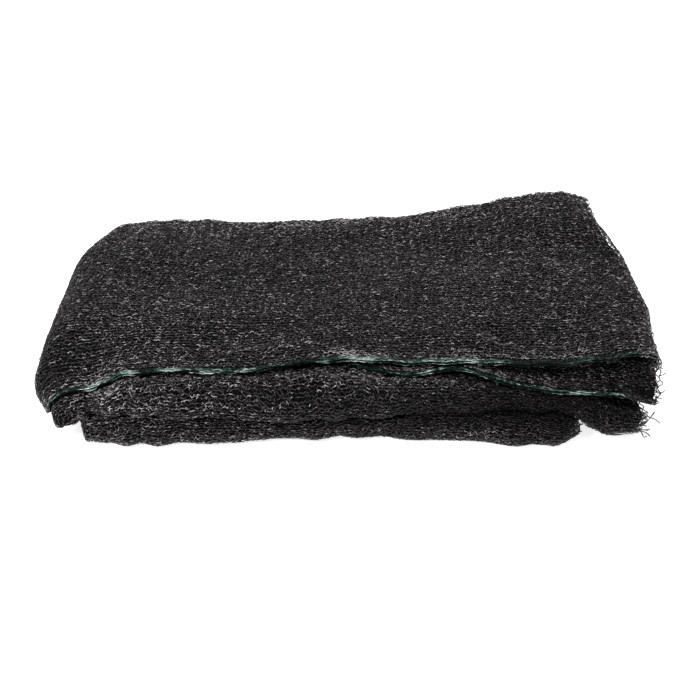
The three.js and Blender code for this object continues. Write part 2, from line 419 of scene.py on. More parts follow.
    def way_across(self, section: dict[str, Array], across: Array) -> tuple[Array, Array, Array, Array]:
        """Where a point lies in its section.

        Args:
            section: the y of the selvages and folds there.
            across: distances from the first selvage.
        Returns:
            y, the plies that the point lies between, and its share of the way from one to the other.
        """
        count = len(self.stretch_ends) - 1
        stretch = np.clip(np.searchsorted(self.stretch_ends, across, side="right") - 1, 0, count - 1)
        starts = self.stretch_ends[stretch]
        t = (across - starts) / (self.stretch_ends[stretch + 1] - starts)
        run = stretch // 2
        folding = stretch % 2 == 1
        wide_depth = self.fold_depth_per_ply * self.top_fold_ply
        ends = np.stack([section["back"] - wide_depth, section["fold"] + wide_depth, section["second"]])
        columns = np.arange(ends.shape[1])
        end = ends[self.run_sides[run], columns]
        before = ends[self.run_sides[np.maximum(run - 1, 0)], columns]
        start = np.where(run == 0, section["first"], before)
        near, far = self.run_plies[run], self.run_plies[run + 1]
        depth = self.fold_depth_per_ply * np.abs(far - near)
        depth = np.where(self.run_sides[run] == FoldSide.BACK.value, depth, -depth)
        angle = math.pi * t
        y = np.where(folding, end + depth * np.sin(angle), mix(start, end, t))
        share = np.where(folding, (1.0 - np.cos(angle)) / 2.0, 0.0)
        return y, near, np.where(folding, far, near), share

    def rise(self, x: Array, y: Array) -> Array:
        """Rise of the top over its even height, at the back right corner."""
        return self.heights.at("rise", x) * self.rise_zone.share(y)

    def middle(self, x: Array, y: Array) -> Array:
        """Height of the pack's middle, between the two passes."""
        wave = self.middle_wave_height * np.sin(x / self.middle_wave_length) * self.front_zone.share(y)
        return self.heights.at("middle", x) + self.rise_middle_share * self.rise(x, y) + wave

    def gap(self, x: Array) -> Array:
        """Distance of the two innermost plies from the middle, at the front."""
        return mix(*self.middle_gap, self.middle_gap_zone.share(x))

    def upper_height(self, ply: Array, x: Array, y: Array) -> Array:
        """Height of a ply of the upper pass."""
        middle = self.middle(x, y)
        top = self.heights.at("top", x) + self.rise(x, y)
        even = mix(middle, top, (ply + 0.5) / (self.outer_ply + 0.5))
        low = middle + self.gap(x)
        front = mix(low, self.heights.at("fold", x), ply / self.top_fold_ply)
        front = np.where(ply == self.outer_ply - 1, self.heights.at("second", x), front)
        front = np.where(ply == self.outer_ply, self.heights.at("first", x), front)
        wave = np.sin(x / self.ripple_lengths[0] + ply * self.ripple_ply_shift)
        wave = wave * np.cos(y / self.ripple_lengths[1] + ply)
        return mix(even, front, self.front_zone.share(y)) + self.ripple_height * wave

    def lower_height(self, ply: Array, x: Array, y: Array, section: dict[str, Array]) -> Array:
        """Height of a ply of the lower pass, whose front fold sags before the hidden selvages."""
        middle = self.middle(x, y)
        even = mix(self.half_thickness, middle, (self.outer_ply - ply) / (self.outer_ply + 0.5))
        fold_share = np.clip(1.0 - ply / self.top_fold_ply, 0.0, 1.0)
        sagged = mix(self.half_thickness + self.fold_floor_gap, middle - self.gap(x), fold_share)
        start = np.minimum(section["first"], section["second"]) - self.selvage_clearance
        sag = smoothstep(start - y, 0.0, self.lower_sag_length)
        return mix(even, sagged, sag)

    def ragged_end(self, x: Array, turn: Array, ply: Array, y: Array) -> Array:
        """How far a ply's cut end stands back from the straight end of its pass."""
        upper = turn == 0.0
        end = np.where(upper, self.upper_end, self.lower_end)
        near_end = smoothstep(x - end, -self.ragged_length, 0.0)
        plies = np.arange(len(self.end_setback))
        setback = np.interp(ply, plies, self.end_setback)
        ripple = 1.0 + np.sin(y / self.ragged_wave_length + ply)
        wave = np.interp(ply, plies, self.ragged_heights) * ripple
        taper = self.end_taper * self.end_taper_zone.share(y)
        corner = np.where(upper & (ply == self.outer_ply), self.top_corner_reach, 0.0)
        reach = corner * self.roll_zone.share(y)
        swing = self.second_end_reach * self.second_reach_zone.share(y)
        swing = swing - self.second_end_inset * self.second_inset_zone.share(y)
        reach = reach + np.where(upper & (ply == self.outer_ply - 1), swing, 0.0)
        return near_end * (np.where(upper, 1.0, self.lower_ragged_share) * (setback + wave + taper) - reach)

    def corner_inset(self, x: Array, turn: Array, y: Array) -> Array:
        """How far the corners of the turn are drawn in to the right."""
        towards_turn = 1.0 - smoothstep(x - self.turn_start, 0.0, self.corner_length)
        front = mix(*self.front_corner_insets, turn / math.pi) * self.front_corner.share(y)
        return towards_turn * (front + self.back_corner_inset * self.back_corner.share(y))

    def place(self, along: Array, across: Array) -> Array:
        """Points of the cloth's centre surface.

        Args:
            along: distances along the strip from the upper cut end.
            across: distances across the cloth from the first selvage.
        Returns:
            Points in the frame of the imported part, in millimetres.
        """
        along, across = np.broadcast_arrays(np.asarray(along, float), np.asarray(across, float))
        shape = along.shape
        x, turn = self.station(along.ravel())
        section = self.section(x, turn)
        y, near, far, share = self.way_across(section, across.ravel())
        side = np.cos(turn)
        level_x = np.where(side >= 0.0, x, np.minimum(x, self.lower_level_end))
        middle = self.middle(level_x, y)
        over = mix(*(self.upper_height(each, x, y) for each in (near, far)), share)
        under = mix(*(self.lower_height(each, level_x, y, section) for each in (near, far)), share)
        away = np.abs(np.where(side >= 0.0, over, under) - middle)
        ply = mix(near, far, share)
        at_front = self.front_corner.share(y)
        at_notch = self.notch_zone.share(y)
        reach = mix(self.turn_reach, self.lower_turn_reach, self.turn_pinch.share(turn) * at_notch)
        crowding = mix(1.0, self.nose_crowding, at_front)
        inward = 1.0 - (ply + 0.5) / (self.outer_ply + 0.5)
        bulge = reach * (1.0 - inward ** crowding) * np.sin(turn)
        notch = bell(turn, self.notch_angle, self.notch_half_angle)
        away = away * (1.0 - self.notch_lift * notch * at_notch)
        lifted = self.lower_end_lift * self.lower_end_zone.share(x) * at_front
        away = away * np.where(side >= 0.0, 1.0, 1.0 - lifted)
        for angle, rise in (self.nose_dip, self.notch_rise):
            middle = middle + rise * at_front * bell(turn, angle, self.dip_half_angle)
        shift = self.corner_inset(x, turn, y) - bulge - self.ragged_end(x, turn, ply, y)
        x = x + shift - self.centre[0]
        y = y - self.centre[1]
        rolled, dropped = self.corner_roll(along.ravel(), across.ravel(), y)
        z = middle + away * side + self.top_relief(along.ravel(), across.ravel(), x, y) + dropped
        return np.stack([x + rolled, y, z], axis=-1).reshape(*shape, 3)

    def top_relief(self, along: Array, across: Array, x: Array, y: Array) -> Array:
        """Height of the top ply's creases and lumps, and of its end, which curls down."""
        past_top = smoothstep(along - self.upper_length, -self.top_fade, 0.0)
        on_top = self.top_zone.share(across) * (1.0 - past_top)
        relief = sum(lump.at(x, y) for lump in self.lumps)
        relief = relief + sum(crease.rise(x, y) for crease in self.creases)
        near_end = np.clip(1.0 - along / self.curl_length, 0.0, self.curl_limit)
        drop = self.curl_drop * (1.0 - self.roll_zone.share(y))
        waves = beat(along, self.edge_wave_lengths, self.edge_wave_shifts)
        waves = waves * np.exp(-across / self.edge_wave_depth)
        return on_top * (relief - drop * near_end ** 2 + self.edge_wave_height * waves)

    def corner_roll(self, along: Array, across: Array, y: Array) -> tuple[Array, Array]:
        """How the top ply's cut end rolls under at its front corner: its shift in x and its rise."""
        share = self.top_zone.share(across) * self.roll_zone.share(y)
        left = np.maximum(self.roll_length - along, 0.0)
        radius = self.roll_radius / np.maximum(share, self.least_roll)
        turned = left / radius
        return radius * np.sin(turned) - left, radius * (np.cos(turned) - 1.0)

    def frames(self, along: Array, across: Array, step: float = 0.8) -> tuple[Array, Array]:
        """Points of the centre surface and the unit normals there."""
        lengthwise = self.place(along + step, across) - self.place(along - step, across)
        crosswise = self.place(along, across + step) - self.place(along, across - step)
        return self.place(along, across), unit(np.cross(lengthwise, crosswise))


@dataclass
class MeshParts:
    """Vertices, faces and finish coordinates that grow into one mesh."""

    points: list[Array] = field(default_factory=list)
    finish: list[Array] = field(default_factory=list)
    quads: list[Array] = field(default_factory=list)
    triangles: list[Array] = field(default_factory=list)
    count: int = 0

    def add(self, points: Array, finish: Array, quads: Array, triangles: Array) -> None:
        """Adds vertices in millimetres, their finish coordinates, and faces that count from them."""
        self.points.append(points)
        self.finish.append(finish)
        self.quads.append(quads + self.count)
        self.triangles.append(triangles + self.count)
        self.count += len(points)

    def triangle_count(self) -> int:
        """How many triangles the mesh has."""
        return 2 * sum(len(q) for q in self.quads) + sum(len(t) for t in self.triangles)

    def make_object(self, name: str, material: bpy.types.Material) -> bpy.types.Object:
        """Makes the piece.

        Args:
            name: the piece's name.
            material: its finish.
        Returns:
            The new object, at the origin, with its place in its mesh.
        """
        points = np.concatenate(self.points) * MM
        quads = np.concatenate(self.quads).astype(np.int32)
        triangles = np.concatenate(self.triangles).astype(np.int32)
        corners = np.concatenate([quads.ravel(), triangles.ravel()])
        totals = np.concatenate([np.full(len(quads), 4), np.full(len(triangles), 3)]).astype(np.int32)
        mesh = bpy.data.meshes.new(name)
        mesh.vertices.add(len(points))
        mesh.vertices.foreach_set("co", points.astype(np.float32).ravel())
        mesh.loops.add(len(corners))
        mesh.loops.foreach_set("vertex_index", corners)
        mesh.polygons.add(len(totals))
        mesh.polygons.foreach_set("loop_start", (np.cumsum(totals) - totals).astype(np.int32))
        mesh.polygons.foreach_set("loop_total", totals)
        mesh.polygons.foreach_set("use_smooth", np.ones(len(totals), bool))
        mesh.update(calc_edges=True)
        finish = np.concatenate(self.finish)[corners]
        mesh.uv_layers.new(name=FINISH_MAP).data.foreach_set("uv", finish.astype(np.float32).ravel())
        mesh.materials.append(material)
        made = bpy.data.objects.new(name, mesh)
        bpy.context.scene.collection.objects.link(made)
        log.info("%s: %d triangles", name, self.triangle_count())
        return made


def add_strands(
    parts: MeshParts, lines: Array, normals: Array, size: Array, twist: Array, look: Array,
) -> None:
    """Adds closed three-sided strands along lines of points.

    Args:
        parts: the mesh that they go into.
        lines: the strands' centre points, (strands, rings, 3).
        normals: the way up at each point, or one for each strand.
        size: the width and height of each ring, (strands, rings, 2), or one pair for all.
        twist: the turn of each ring about its line, (strands, rings).
        look: two finish values for each ring, (strands, rings, 2).
    """
    count, rings = lines.shape[:2]
    if count == 0:
        return
    tangent = np.empty_like(lines)
    tangent[:, 1:-1] = lines[:, 2:] - lines[:, :-2]
    tangent[:, 0] = lines[:, 1] - lines[:, 0]
    tangent[:, -1] = lines[:, -1] - lines[:, -2]
    tangent = unit(tangent)
    side = unit(np.cross(tangent, normals))
    up = np.cross(side, tangent)
    turn_cos, turn_sin = np.cos(twist)[..., None], np.sin(twist)[..., None]
    side, up = side * turn_cos + up * turn_sin, up * turn_cos - side * turn_sin
    half_width = size[..., :1] / 2.0
    third = size[..., 1:] / 3.0
    left = lines + side * half_width - up * third
    right = lines - side * half_width - up * third
    ring = np.stack([left, lines + up * third * 2.0, right], axis=2)
    ring[..., 2] = np.maximum(ring[..., 2], FLOOR_CLEARANCE)
    finish = look[:, :, None, :] + np.array(CORNER_STEPS)
    base = np.arange(count)[:, None, None] * rings * 3
    segment = base + 3 * np.arange(rings - 1)[None, :, None]
    here = np.arange(3)[None, None, :]
    beside = (here + 1) % 3
    quads = np.stack([segment + here, segment + 3 + here, segment + 3 + beside, segment + beside], axis=-1)
    first = np.arange(count)[:, None] * rings * 3
    last = first + 3 * (rings - 1)
    caps = np.concatenate([first + np.array([0, 1, 2]), last + np.array([2, 1, 0])])
    parts.add(ring.reshape(-1, 3), finish.reshape(-1, 2), quads.reshape(-1, 4), caps)


class NodeBench:
    """A node material in the making."""

    def __init__(self, name: str) -> None:
        """Starts the material with its plain shader."""
        self.material = bpy.data.materials.new(name)
        self.material.use_nodes = True
        self.tree = self.material.node_tree
        self.shader = self.tree.nodes["Principled BSDF"]

    def feed(self, node: bpy.types.Node, inputs: dict) -> None:
        """Gives inputs of a node, by name or place, a value or another node's output."""
        for place, given in inputs.items():
            if isinstance(given, Socket):
                self.tree.links.new(given, node.inputs[place])
            else:
                node.inputs[place].default_value = given

    def add(self, kind: str, output: str | int, inputs: dict, **settings: str) -> Socket:
        """Adds a node.

        Args:
            kind: its type.
            output: the name or place of the output that is wanted.
            inputs: what goes into it.
            settings: its own settings.
        Returns:
            The output.
        """
        node = self.tree.nodes.new(kind)
        for name, setting in settings.items():
            setattr(node, name, setting)
        self.feed(node, inputs)
        return node.outputs[output]

    def ramp(self, value: Socket, stops: ColourStops) -> Socket:
        """Adds a colour ramp with these stops, by rising place, and returns its colour."""
        colour = self.add("ShaderNodeValToRGB", "Color", {"Fac": value})
        elements = colour.node.color_ramp.elements
        while len(elements) > 1:
            elements.remove(elements[-1])
        elements[0].position = stops[0][0]
        elements[0].color = (*stops[0][1], 1.0)
        for place, shade in stops[1:]:
            elements.new(place).color = (*shade, 1.0)
        return colour

    def spread(self, value: Socket, ends: Pair) -> Socket:
        """Spreads a value between 0 and 1 over another range."""
        inputs = {"Value": value, "To Min": ends[0], "To Max": ends[1]}
        return self.add("ShaderNodeMapRange", "Result", inputs)

    def calculate(self, operation: str, first: Socket, second: Socket | float) -> Socket:
        """Works out one value from two."""
        return self.add("ShaderNodeMath", "Value", {0: first, 1: second}, operation=operation)

    def finish_map(self) -> tuple[Socket, Socket, Socket]:
        """Reads the finish coordinates: both together, x alone and y alone."""
        both = self.add("ShaderNodeUVMap", "UV", {}, uv_map=FINISH_MAP)
        x = self.add("ShaderNodeSeparateXYZ", "X", {"Vector": both})
        return both, x, x.node.outputs["Y"]


@dataclass(frozen=True)
class TapeFinish:
    """Glossy film tape: its finish coordinates give each strand's gloss and shade."""

    name: str
    shades: ColourStops
    roughness: Pair
    specular: Pair

    def material(self) -> bpy.types.Material:
        """Makes the node material."""
        bench = NodeBench(self.name)
        _, gloss, shade = bench.finish_map()
        bench.feed(bench.shader, {
            "Base Color": bench.ramp(shade, self.shades),
            "Roughness": bench.spread(gloss, self.roughness),
            "Specular IOR Level": bench.spread(shade, self.specular),
        })
        return bench.material


@dataclass(frozen=True)
class GroundFinish:
    """The ground between the tapes: black cloth painted near black, the painted shade of the plies seen
    through the holes, and green along both selvages.
    """

    name: str = "black_ground_painted_shade"
    # Near-black stops: painted shade of the plies that lie behind the holes.
    shades: ColourStops = ((0.35, (0.0008, 0.0008, 0.0008)), (0.75, (0.004, 0.0039, 0.004)))
    green: Triple = (0.002, 0.006, 0.0045)
    selvage_share: float = 0.0010
    half_face: float = 0.25
    yarn_scale: float = 1.3
    yarn_detail: float = 3.0
    wale_scale: float = 0.314
    wale_sway: float = 2.0
    roughness: Pair = (0.6, 0.85)
    specular: float = 0.05
    relief_strength: float = 0.6
    relief_depth: float = 0.0006

    def material(self, grid: "StitchGrid") -> bpy.types.Material:
        """Makes the node material.

        Args:
            grid: the stitches, for their pitch and the sheet's sizes.
        Returns:
            The material, which reads the sheet's own map: along it in x, and across it in y, where one
            face fills the lower half and the other the upper.
        """
        plan = grid.plan
        bench = NodeBench(self.name)
        both, along, across = bench.finish_map()
        scale = (plan.length / grid.stitch, 2.0 * plan.width / grid.wale_pitch, 1.0)
        place = bench.add("ShaderNodeMapping", "Vector", {"Vector": both, "Scale": scale})
        noise = {"Vector": place, "Scale": self.yarn_scale, "Detail": self.yarn_detail}
        yarns = bench.add("ShaderNodeTexNoise", "Fac", noise)
        bands = {"Vector": place, "Scale": self.wale_scale, "Distortion": self.wale_sway}
        wales = bench.add("ShaderNodeTexWave", "Fac", bands, wave_type="BANDS", bands_direction="Y")
        from_edge = bench.calculate("PINGPONG", across, self.half_face)
        at_edge = bench.calculate("LESS_THAN", from_edge, self.selvage_share)
        past_start = bench.calculate("GREATER_THAN", along, grid.selvage_start / plan.length)
        colours = {
            MIX_SHARE: bench.calculate("MULTIPLY", at_edge, past_start),
            MIX_FIRST: bench.ramp(yarns, self.shades),
            MIX_SECOND: (*self.green, 1.0),
        }
        relief = {"Height": wales, "Strength": self.relief_strength, "Distance": self.relief_depth}
        bench.feed(bench.shader, {
            "Base Color": bench.add("ShaderNodeMix", MIX_RESULT, colours, data_type="RGBA"),
            "Roughness": bench.spread(yarns, self.roughness),
            "Specular IOR Level": self.specular,
            "Normal": bench.add("ShaderNodeBump", "Normal", relief),
        })
        return bench.material


# The palest stop is the colour of the painted glints.
BLACK_TAPE = TapeFinish(
    "black_tape",
    (
        (0.0, (0.0069, 0.0054, 0.0063)),
        (0.4, (0.0235, 0.0193, 0.0218)),
        (0.7, (0.064, 0.054, 0.060)),
        (1.0, (0.62, 0.58, 0.60)),
    ),
    (0.16, 0.45),
    (0.1, 1.3),
)
# The palest stop is the painted glare of the crinkled film.
GREEN_TAPE = TapeFinish(
    "green_tape",
    (
        (0.0, (0.003, 0.009, 0.0065)),
        (0.35, (0.006, 0.030, 0.020)),
        (0.55, (0.024, 0.080, 0.056)),
        (0.75, (0.15, 0.26, 0.205)),
        (1.0, (0.66, 0.74, 0.70)),
    ),
    (0.14, 0.40),
    (0.2, 1.2),
)


@dataclass
class GroundSheet:
    """The thin sheet through all the plies, cut a little short of the frayed ends."""

    plan: FoldPlan
    thickness: float = 0.7
    end_cut: float = 5.0
    thin_spots: tuple[Triple, ...] = ((240.0, 32.0, 9.0), (66.0, 20.0, 6.0))
    along_step: float = 8.0
    turn_steps: int = 30
    top_run_steps: int = 26
    run_steps: int = 12
    fold_steps: int = 7

    def grid(self) -> tuple[Array, Array]:
        """Distances along and across the cloth at which the sheet is divided."""
        plan = self.plan
        upper = np.linspace(self.end_cut, plan.upper_length, int(plan.upper_length / self.along_step))
        turn = np.linspace(plan.upper_length, plan.lower_start, self.turn_steps + 1)[1:-1]
        lower_end = plan.length - self.end_cut
        lower_count = int((lower_end - plan.lower_start) / self.along_step)
        lower = np.linspace(plan.lower_start, lower_end, lower_count)
        ends = plan.stretch_ends
        steps = [self.run_steps if i % 2 == 0 else self.fold_steps for i in range(len(ends) - 1)]
        steps[0] = self.top_run_steps
        parts = [np.linspace(a, b, n, endpoint=False) for a, b, n in zip(ends, ends[1:], steps)]
        across = np.concatenate([*parts, ends[-1:]])
        return np.concatenate([upper, turn, lower]), across

    def build(self, material: bpy.types.Material) -> bpy.types.Object:
        """Makes the closed sheet."""
        plan = self.plan
        along, across = self.grid()
        grid_along, grid_across = np.meshgrid(along, across, indexing="ij")
        for centre, half_length, depth in self.thin_spots:
            cut = depth * bell(grid_across, centre, half_length)
            grid_along = grid_along + cut * np.clip(1.0 - grid_along / plan.upper_length, 0.0, 1.0)
        points, normals = plan.frames(grid_along, grid_across)
        rows, columns = grid_along.shape
        half = self.thickness / 2.0
        sides = np.stack([points + normals * half, points - normals * half])
        share_along = grid_along / plan.length
        share_across = grid_across / plan.width / 2.0
        faces = (share_across, 1.0 - share_across)
        finish = np.stack([np.stack([share_along, face], axis=-1) for face in faces])
        front, rear = np.arange(2 * rows * columns).reshape(2, rows, columns)
        quads = [grid_quads(front), grid_quads(rear)[:, [0, 3, 2, 1]]]
        for edge in (0, -1):
            long_rim = [front[:-1, edge], rear[:-1, edge], rear[1:, edge], front[1:, edge]]
            short_rim = [front[edge, :-1], front[edge, 1:], rear[edge, 1:], rear[edge, :-1]]
            for corners in (long_rim, short_rim):
                rim = np.stack(corners, axis=-1)
                quads.append(rim if edge == 0 else rim[:, ::-1])
        parts = MeshParts()
        no_triangles = np.zeros((0, 3), int)
        parts.add(sides.reshape(-1, 3), finish.reshape(-1, 2), np.concatenate(quads), no_triangles)
        return parts.make_object("ground_sheet", material)


@dataclass
class OpenAir:
    """Finds which places on the cloth can be seen from outside the pack."""

    plan: FoldPlan
    start: float = 1.6
    reach: float = 90.0
    tilts: tuple[tuple[float, int], ...] = ((0.0, 1), (45.0, 6), (66.0, 8))
    least_rays: int = 3
    half_floor: float = 600.0
    end_cut: float = 2.0
    upright: float = 0.9

    def tree(self) -> BVHTree:
        """The cloth's centre surface and the floor under it, for casting rays."""
        along, across = GroundSheet(self.plan, end_cut=self.end_cut).grid()
        points = self.plan.place(*np.meshgrid(along, across, indexing="ij"))
        rows, columns = points.shape[:2]
        count = rows * columns
        quads = grid_quads(np.arange(count).reshape(rows, columns))
        half = self.half_floor
        floor = [(-half, -half, 0.0), (half, -half, 0.0), (half, half, 0.0), (-half, half, 0.0)]
        vertices = [*points.reshape(-1, 3).tolist(), *floor]
        return BVHTree.FromPolygons(vertices, [*quads.tolist(), list(range(count, count + len(floor)))])

    def sees_out(self, points: Array, normals: Array) -> Array:
        """True for each point from which several rays on its normal's side leave the pack."""
        tree = self.tree()
        helper = np.where(np.abs(normals[:, 2:]) < self.upright, (0.0, 0.0, 1.0), (1.0, 0.0, 0.0))
        first = unit(np.cross(normals, helper))
        second = np.cross(normals, first)
        starts = points + normals * self.start
        rays = np.zeros(len(points), int)
        above_floor = starts[:, 2] > 0.0
        for tilt, count in self.tilts:
            lean = math.radians(tilt)
            for spoke in range(count):
                turn = math.tau * spoke / count
                ways = first * math.cos(turn) + second * math.sin(turn)
                ways = normals * math.cos(lean) + ways * math.sin(lean)
                for i in np.flatnonzero(above_floor & (rays < self.least_rays)):
                    hit = tree.ray_cast(Vector(starts[i]), Vector(ways[i]), self.reach)
                    rays[i] += hit[0] is None
        return rays >= self.least_rays


class Region(Enum):
    """Parts of the pack's outside, each a piece of knit of its own."""

    TOP_LEFT = "knit_top_left"
    TOP_MIDDLE = "knit_top_middle"
    TOP_RIGHT = "knit_top_right"
    FRONT_LEFT = "knit_front_left"
    FRONT_RIGHT = "knit_front_right"
    BACK = "knit_back"
    TURN = "knit_turn"
    ENDS = "knit_ends"


@dataclass
class StitchGrid:
    """Where every stitch of the cloth lies, on which wale, and which of them can be seen from outside."""

    plan: FoldPlan
    wale_pitch: float = 8.5
    stitch: float = 3.9
    selvage_wales: int = 3
    selvage_pitch: float = 2.4
    selvage_inset: float = 0.4
    selvage_start: float = 36.0
    sample_step: float = 2.0
    end_zone: float = 46.0
    end_front: float = -120.0
    top_third: float = 100.0
    top_slope: float = 0.3

    def __post_init__(self) -> None:
        """Lays out the wales and the stitches on them, and finds which can be seen."""
        plan = self.plan
        edge = self.selvage_pitch * (np.arange(self.selvage_wales) + self.selvage_inset)
        inner_start = edge[-1] + 0.5 * (self.selvage_pitch + self.wale_pitch)
        count = int(round((plan.width - 2.0 * inner_start) / self.wale_pitch)) + 1
        inner = np.linspace(inner_start, plan.width - inner_start, count)
        self.wales = np.concatenate([edge, inner, (plan.width - edge)[::-1]])
        samples = np.arange(0.0, plan.length + self.sample_step, self.sample_step)
        points = plan.place(samples[:, None], self.wales[None, :])
        steps = np.linalg.norm(np.diff(points, axis=0), axis=-1)
        travel = np.concatenate([np.zeros((1, len(self.wales))), np.cumsum(steps, axis=0)])
        apex = np.searchsorted(samples, plan.upper_length + plan.turn_length / 2.0)
        reach = int(travel[-1].max() / self.stitch) + 2
        order = np.arange(-reach, reach + 1)
        self.along = np.empty((len(order), len(self.wales)))
        self.alive = np.empty(self.along.shape, bool)
        for j in range(len(self.wales)):
            wanted = travel[apex, j] + order * self.stitch
            self.along[:, j] = np.interp(wanted, travel[:, j], samples)
            self.alive[:, j] = (wanted > 0.0) & (wanted < travel[-1, j] - self.stitch)
        self.alive[-1] = False
        self.green = self.along > self.selvage_start
        self.green[:, self.selvage_wales:-self.selvage_wales] = False
        self.find_open()

    def spans(self, rows: Array, columns: Array) -> tuple[Array, Array]:
        """Where stitches start along the cloth and how far each of them goes, as columns."""
        start = self.along[rows, columns]
        return start[:, None], (self.along[rows + 1, columns] - start)[:, None]

    def find_open(self) -> None:
        """Finds the stitches that can be seen from either side of the cloth, and the region of each."""
        rows, columns = np.nonzero(self.alive)
        points, normals = self.plan.frames(self.along[rows, columns], self.wales[columns])
        air = OpenAir(self.plan)
        self.open = np.zeros((2, *self.alive.shape), bool)
        self.region = np.zeros((2, *self.alive.shape), int)
        self.faces_up = np.zeros(self.alive.shape, bool)
        self.faces_up[rows, columns] = normals[:, 2] > 0.0
        tested = rows % 2 == 0
        for side, sign in enumerate((1.0, -1.0)):
            seen = air.sees_out(points[tested], sign * normals[tested])
            self.open[side, rows[tested], columns[tested]] = seen
            self.open[side, 1:] |= self.open[side, :-1]
            self.region[side, rows, columns] = self.regions(rows, columns, points, sign * normals)
        self.open &= self.alive
        log.info("stitches: %d, seen from each side: %s", len(rows), self.open.sum(axis=(1, 2)))

    def regions(self, rows: Array, columns: Array, points: Array, outward: Array) -> Array:
        """The place in Region of each stitch, by where it lies and which way it faces."""
        order = list(Region)
        along = self.along[rows, columns]
        x, y = points[:, 0], points[:, 1]
        front = np.where(x < 0.0, order.index(Region.FRONT_LEFT), order.index(Region.FRONT_RIGHT))
        found = np.where(y < 0.0, front, order.index(Region.BACK))
        top_third = np.digitize(x, (-self.top_third, self.top_third))
        on_top = (outward[:, 2] > self.top_slope) & (self.wales[columns] < self.plan.run_length)
        found = np.where(on_top & (along < self.plan.upper_length), top_third, found)
        turning = (along > self.plan.upper_length) & (along < self.plan.lower_start)
        found = np.where(turning, order.index(Region.TURN), found)
        at_end = (along < self.end_zone) | (along > self.plan.length - self.end_zone)
        plain_end = at_end & ~on_top & (y > self.end_front)
        return np.where(plain_end, order.index(Region.ENDS), found)


@dataclass
class YarnLayer:
    """Lays yarn on the stitches of a grid, with strays that change smoothly from ring to ring."""

    grid: StitchGrid
    rng: np.random.Generator
    lowest: float = 0.6
    stray_centre: float = 1.6
    stray_scale: float = 2.14
    wanders: tuple[CrossWave, ...] = (
        CrossWave(0.45, (5.3, 4.1), (11.0, -9.0)),
        CrossWave(1.5, (29.0, 23.0), (57.0, -37.0)),
    )
    puff_height: float = 0.3
    puff_length: float = 9.0
    puff_sway: float = 1.7
    puff_sway_length: float = 13.0
    puff_fade_lengths: Pair = (23.0, 6.0)
    most_gloss: float = 0.9
    most_shade: float = 0.95

    def strays(self, segments: int) -> Array:
        """Smooth random values for each ring of each wale.

        Args:
            segments: how many stretches each stitch is divided into.
        Returns:
            Four sets of values about 0, (4, rings, wales).
        """
        rows, wales = self.grid.along.shape
        raw = self.rng.normal(0.0, 1.0, (4, rows * segments + 3, wales))
        return (raw[:, :-2] + self.stray_centre * raw[:, 1:-1] + raw[:, 2:]) / self.stray_scale

    def kinks(self, segments: int) -> Array:
        """Random values for each ring of each wale, unlike those of the next ring, (2, rings, wales)."""
        rows, wales = self.grid.along.shape
        return self.rng.normal(0.0, 1.0, (2, rows * segments + 1, wales))

    def wander(self, along: Array, across: Array) -> Array:
        """How far the yarn strays across the cloth, in millimetres, changing slowly over it."""
        return sum(wave.at(along, across) for wave in self.wanders)

    def puff(self, along: Array, across: Array) -> Array:
        """How far the yarn stands off the cloth beyond its usual height, in millimetres."""
        sway = self.puff_sway * np.sin(across / self.puff_sway_length)
        fade = np.cos(along / self.puff_fade_lengths[0] + across / self.puff_fade_lengths[1])
        return self.puff_height * (1.0 + np.sin(along / self.puff_length + sway) * fade)

    def gloss(self, count: int, rings: int) -> Array:
        """A random gloss for each of many strands, which is even along it but for the small steps."""
        return self.rng.uniform(0.0, self.most_gloss, (count, 1)) + ring_steps(rings)

    def look(self, gloss: Array, shade: Array) -> Array:
        """Finish values for each ring: its gloss, and its shade kept within bounds."""
        return np.stack([gloss, np.clip(shade, 0.0, self.most_shade)], axis=-1)

    def raise_points(self, along: Array, across: Array, height: Array, sign: float) -> tuple[Array, Array]:
        """Points at a height over one side of the cloth, and the way up there."""
        points, normals = self.grid.plan.frames(along, across)
        outward = sign * normals
        raised = points + outward * height[..., None]
        raised[..., 2] = np.maximum(raised[..., 2], self.lowest)
        return raised, outward


@dataclass(frozen=True)
class PaintedLightSpot:
    """A part of the pack where the knit is painted paler or darker, as painted light or painted shade, and
    gets more or fewer painted glints than elsewhere.
    """

    centre: Triple
    half_size: Triple
    shade: float
    glints: float

    def share(self, points: Array) -> Array:
        """How much of it there is at each point, from 0 to 1."""
        away = (points - np.array(self.centre)) / np.array(self.half_size)
        return np.exp(-np.sum(away ** 2, axis=-1))


